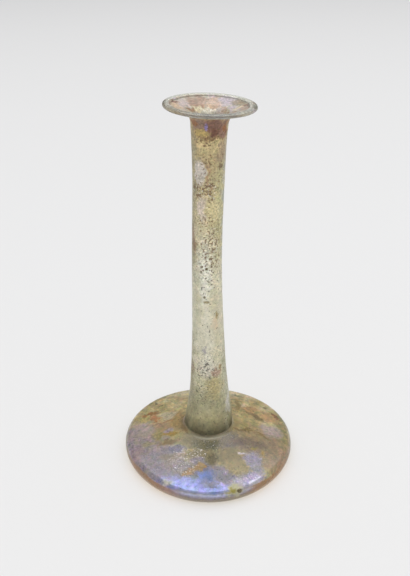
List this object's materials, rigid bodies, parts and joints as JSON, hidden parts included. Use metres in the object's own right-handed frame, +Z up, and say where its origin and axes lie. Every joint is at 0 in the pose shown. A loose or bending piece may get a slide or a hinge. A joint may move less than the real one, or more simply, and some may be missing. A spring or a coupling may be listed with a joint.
{
  "type": "glass unguentarium",
  "caption": "Tall slender blown glass bottle for perfumed oil: folded flaring rim, long waisted neck and a low hollow disc-shaped body that stands on its underside.",
  "frame": {"origin": "on the standing surface, under the middle of the body", "axes": "+Z up along the neck to the mouth; the rim is lowest towards +X"},
  "size_m": [0.0855, 0.084, 0.1807],
  "materials": {
    "weathered_glass": "pale green-yellow translucent glass with brown weathering specks and an iridescent film"
  },
  "bodies": {
    "root": {"glass_unguentarium": "weathered_glass"}
  },
  "joints": []
}
